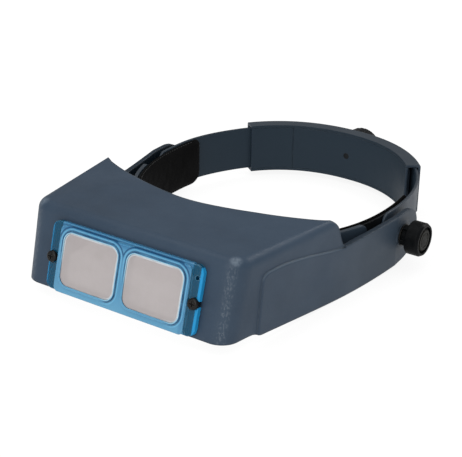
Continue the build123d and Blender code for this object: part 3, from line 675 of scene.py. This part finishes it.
def pad_places():
    """Columns of (run, z) along the pad, dense at its rounded ends and at its rims."""
    ends = [LOW_RADIUS * (1 - math.cos(math.pi / 2 * i / END_CUTS)) for i in range(END_CUTS)]
    middle = [LOW_RADIUS + (pad_length - 2 * LOW_RADIUS) * i / MIDDLE_CUTS
              for i in range(MIDDLE_CUTS + 1)]
    runs = ends + middle + [pad_length - end for end in reversed(ends)]
    heights = [0.5 - 0.5 * math.cos(math.pi * (0.08 + 0.84 * j / ROWS))
               for j in range(ROWS + 1)]
    first, last = heights[0], heights[-1]
    heights = [(height - first) / (last - first) for height in heights]
    columns = []
    for run in runs:
        bottom, top = pad_limits(run)
        columns.append([(run, bottom + (top - bottom) * height) for height in heights])
    return columns


def pad_shell(columns):
    """Closed shell: back on the carrier, crowned front towards the head."""
    bm = bmesh.new()
    last = len(columns) - 1
    back, front = {}, {}
    for i, column in enumerate(columns):
        for j, (run, z) in enumerate(column):
            on_rim = i in (0, last) or j in (0, ROWS)
            back_out = SKIN - (0.00025 if on_rim else 0.00006)
            for side, out in ((back, back_out), (front, SKIN - pad_thickness(run, z))):
                side[i, j] = bm.verts.new((*curve_xy(pad_angle(run), out), z))
    for i in range(last):
        for j in range(ROWS):
            corners = [(i, j), (i + 1, j), (i + 1, j + 1), (i, j + 1)]
            bm.faces.new([back[corner] for corner in corners])
            bm.faces.new([front[corner] for corner in reversed(corners)])
    rim = ([(i, 0) for i in range(last + 1)]
           + [(last, j) for j in range(1, ROWS + 1)]
           + [(i, ROWS) for i in range(last - 1, -1, -1)]
           + [(0, j) for j in range(ROWS - 1, 0, -1)])
    for a, b in zip(rim, rim[1:] + rim[:1]):
        bm.faces.new([back[a], front[a], front[b], back[b]])
    return smooth_object("pad_cover", bm)


def pin_pad(pad, columns):
    """Pins the back and the rim; vertices go back, front, place by place."""
    pin = pad.vertex_groups.new(name="pin")
    places = [place for column in columns for place in column]
    for i, (run, z) in enumerate(places):
        held = 1.0 if from_rim(run, z) <= RIM_WIDTH * 1.15 else 0.0
        pin.add([2 * i], 1.0, "REPLACE")
        pin.add([2 * i + 1], held, "REPLACE")


def puff_pad(pad, last_frame=20, furthest=0.0006):
    """Foam pressure blows the front out a little between the sewn rims."""
    modifier = pad.modifiers.new("cloth", "CLOTH")
    cloth = modifier.settings
    cloth.quality = 6
    cloth.mass = 0.2
    cloth.tension_stiffness = 12
    cloth.compression_stiffness = 8
    cloth.shear_stiffness = 4
    cloth.bending_stiffness = 0.08
    cloth.use_pressure = True
    cloth.uniform_pressure_force = 4.0
    cloth.vertex_group_mass = "pin"
    cloth.pin_stiffness = 1.0
    cloth.effector_weights.gravity = 0.0
    modifier.point_cache.frame_start = 1
    modifier.point_cache.frame_end = last_frame
    for frame in range(1, last_frame + 1):
        scene.frame_set(frame)
    evaluated = pad.evaluated_get(bpy.context.evaluated_depsgraph_get())
    puffed = [vertex.co.copy() for vertex in evaluated.to_mesh().vertices]
    evaluated.to_mesh_clear()
    pad.modifiers.remove(modifier)
    scene.frame_set(1)
    for vertex, target in zip(pad.data.vertices, puffed):
        shift = target - vertex.co
        if shift.length > furthest:
            shift = shift * (furthest / shift.length)
        vertex.co = vertex.co + shift


def build_pad():
    columns = pad_places()
    pad = pad_shell(columns)
    pin_pad(pad, columns)
    puff_pad(pad)
    pad.modifiers.new("sub", "SUBSURF").levels = 1
    depsgraph = bpy.context.evaluated_depsgraph_get()
    fine = bpy.data.meshes.new_from_object(pad.evaluated_get(depsgraph))
    pad.modifiers.clear()
    pad.data = fine
    pad.vertex_groups.clear()
    return pad


def pad_weave(pitch=0.0009, radius=0.082):
    """Black woven cover: over-under weave, soft sheen, a little lint."""
    mat = Material("pad_weave")
    place = mat.place()
    x, y, z = place.xyz()
    around = y.math("ARCTAN2", x) * (radius * 2 * math.pi / pitch)
    warp = around.math("SINE")
    weft = (z * (2 * math.pi / pitch)).math("SINE")
    weave = warp * weft
    ridge = abs(warp) + abs(weft)
    fuzz = place.noise(scale=3000, detail=3, roughness=0.6)
    height = weave * 0.5 + ridge * 0.4 + fuzz * 0.5
    tone = place.noise(scale=45, roughness=0.6)
    lint = place.noise(scale=900, detail=5, roughness=0.8).span(0.70, 0.76)
    colour = painted(
        (0.0012, 0.0012, 0.0013),
        ((0.0024, 0.0024, 0.0025), tone.span(0.3, 0.7)),
        ((0.0045, 0.0045, 0.0048), weave.span(-0.2, 0.9, to=(0, 0.3))),
        ((0.05, 0.05, 0.05), lint * 0.2))
    return mat.finish(mat.add(
        "BsdfPrincipled", Base_Color=colour, Roughness=fuzz.span(0.3, 0.7, to=(0.68, 0.86)),
        Normal=mat.bump(height, strength=0.42, distance=0.00012), IOR=1.3,
        Specular_IOR_Level=0.1, Sheen_Weight=0.01, Sheen_Roughness=0.5))


pad = build_pad()
pad.data.materials.append(pad_weave())
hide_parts("comfort_pad")
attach(pad, "front_band")


# ------------------------------------------------------------------ stitches
STITCH_STEP = 0.0024
STITCH_INSET = 0.00085                  # in from the pad's rim
STITCH_MARGIN = 0.009                   # left clear at both ends of the long rows
END_STITCHES = 4
STITCH_HALF, STITCH_RADIUS = 0.00085, 0.00020
STITCH_SEGMENTS, STITCH_SIDES = 7, 6


def pad_thread(twist_pitch=0.00045):
    mat = Material("pad_thread")
    place = mat.place()
    x, y, z = place.xyz()
    twist = ((x + y + z * 1.7) * (2 * math.pi / twist_pitch)).math("SINE")
    fuzz = place.noise(scale=4000, detail=2, roughness=0.6)
    colour = mix((0.006, 0.006, 0.0065), (0.016, 0.016, 0.017), twist.span(-1, 1))
    return mat.finish(mat.add(
        "BsdfPrincipled", Base_Color=colour, Roughness=fuzz.span(0.3, 0.7, to=(0.55, 0.75)),
        Normal=mat.bump(twist + fuzz, strength=0.5, distance=0.00008),
        Specular_IOR_Level=0.3, Sheen_Weight=0.1))


def stitch_places():
    """(run, z, whether the stitch lies along the run), just inside the rim."""
    places = []
    row = pad_length - 2 * STITCH_MARGIN
    count = int(row / STITCH_STEP)
    for i in range(count + 1):
        run = STITCH_MARGIN + row * i / count
        bottom, top = pad_limits(run)
        places += [(run, top - STITCH_INSET, True), (run, bottom + STITCH_INSET, True)]
    for i in range(END_STITCHES):
        for run in (STITCH_INSET, pad_length - STITCH_INSET):
            bottom, top = pad_limits(run)
            places.append((run, bottom + (top - bottom) * (i + 0.5) / END_STITCHES, False))
    return places


def add_stitch(bm, run, z, lengthwise):
    """Short thread, tapered at both ends and humped in the middle."""
    rings = []
    for i in range(STITCH_SEGMENTS + 1):
        along = i / STITCH_SEGMENTS * 2 - 1
        fullness = math.sqrt(max(0.0, 1 - abs(along) ** 3))
        radius = STITCH_RADIUS * max(0.35, fullness)
        inward = 0.00118 + 0.00008 * fullness
        ring = []
        for j in range(STITCH_SIDES):
            angle = 2 * math.pi * j / STITCH_SIDES
            shifts = along * STITCH_HALF, math.cos(angle) * radius
            run_shift, z_shift = shifts if lengthwise else reversed(shifts)
            here = min(max(run + run_shift, 0.0), pad_length)
            out = SKIN - inward + math.sin(angle) * radius
            ring.append(bm.verts.new((*curve_xy(pad_angle(here), out), z + z_shift)))
        rings.append(ring)
    for ring, following in zip(rings, rings[1:]):
        for j in range(STITCH_SIDES):
            k = (j + 1) % STITCH_SIDES
            bm.faces.new([ring[j], ring[k], following[k], following[j]])
    bm.faces.new(rings[0][::-1])
    bm.faces.new(rings[-1])


def build_stitches():
    bm = bmesh.new()
    for place in stitch_places():
        add_stitch(bm, *place)
    return smooth_object("pad_stitches", bm)


stitches = build_stitches()
stitches.data.materials.append(pad_thread())
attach(stitches, "front_band")


# ------------------------------------------------------------------ floor and world
FLOOR_HALF = 6
FLOOR_Z = cad_low[2] - 0.0005


def floor_paper():
    """Glowing paper to the scene. The camera sees through it to the white world, with soft
    painted contact shadows from ambient occlusion, so what swings below it when the hood is
    turned down still shows."""
    mat = Material("floor_paper")
    camera_ray, glossy_ray = mat.ray_kinds()
    diffuse = mat.add("BsdfDiffuse", Color=(0.34, 0.34, 0.34))
    glow = mat.add("Emission", Color=(1, 1, 1),
                   Strength=glossy_ray.linear(0, 1, to=(0.80, 0.42)))
    paper = mat.add("AddShader", diffuse, glow)
    # painted contact shadow, for camera rays only
    openness = mat.add("AmbientOcclusion", output="AO", samples=8, Distance=0.035)
    shade = openness.linear(0.25, 0.95, to=(0.86, 1.0))
    seen = mat.add("BsdfTransparent", Color=mat.vector(shade, shade, shade))
    return mat.finish(mat.add("MixShader", camera_ray, paper, seen))


def build_floor():
    mesh = bpy.data.meshes.new("floor")
    signs = ((-1, -1), (1, -1), (1, 1), (-1, 1))
    corners = [(x * FLOOR_HALF, y * FLOOR_HALF, FLOOR_Z) for x, y in signs]
    mesh.from_pydata(corners, [], [(0, 1, 2, 3)])
    floor = link_object("floor", mesh)
    mesh.materials.append(floor_paper())


def build_world():
    """White sweep, dimmer in reflections and full white to the camera."""
    world = bpy.data.worlds.new("studio")
    scene.world = world
    nodes = Nodes(world)
    colour, strength = list(nodes.tree.nodes["Background"].inputs)[:2]
    colour.default_value = (1, 1, 1, 1)
    camera_ray, glossy_ray = nodes.ray_kinds()
    level = glossy_ray.linear(0, 1, to=(0.84, 0.34))
    nodes.plug(level.at_least(camera_ray * 1.05), strength)


build_floor()
build_world()


# ------------------------------------------------------------------ lights and camera
def area_light(name, place, target, size, power):
    light = bpy.data.lights.new(name, "AREA")
    light.energy = power
    light.size = size
    lamp = link_object(name, light)
    lamp.location = place
    aim = Vector(target) - Vector(place)
    lamp.rotation_euler = aim.to_track_quat("-Z", "Y").to_euler()


MIDDLE = (0, -0.06, 0)
area_light("key", place=(0.15, -1.40, 0.75), target=MIDDLE, size=1.1, power=9.5)
area_light("top", place=(-0.15, -0.15, 1.5), target=MIDDLE, size=1.2, power=7)
area_light("rim", place=(0.45, 1.05, 0.80), target=(0.06, -0.10, 0.02), size=0.5, power=4.5)

CAMERA_PLACE = (0.40425, -0.65387, 0.33280)
CAMERA_RIGHT = (0.826751033977718, 0.5622914069374284, 0.01763806965348978)
CAMERA_UP = (-0.24872971781993683, 0.33723212827434135, 0.9079691730079676)
CAMERA_BACK = (0.5045951399785661, -0.7550515646920317, 0.41866559372144)

camera_data = bpy.data.cameras.new("camera")
camera = link_object("camera", camera_data)
camera.matrix_world = Matrix((
    (*CAMERA_RIGHT, 0),
    (*CAMERA_UP, 0),
    (*CAMERA_BACK, 0),
    (*CAMERA_PLACE, 1))).transposed()
camera_data.sensor_width = 36.0         # mm
camera_data.lens = 104.1872727          # mm
camera_data.clip_start = 0.01
scene.camera = camera
scene.view_settings.view_transform = "Standard"
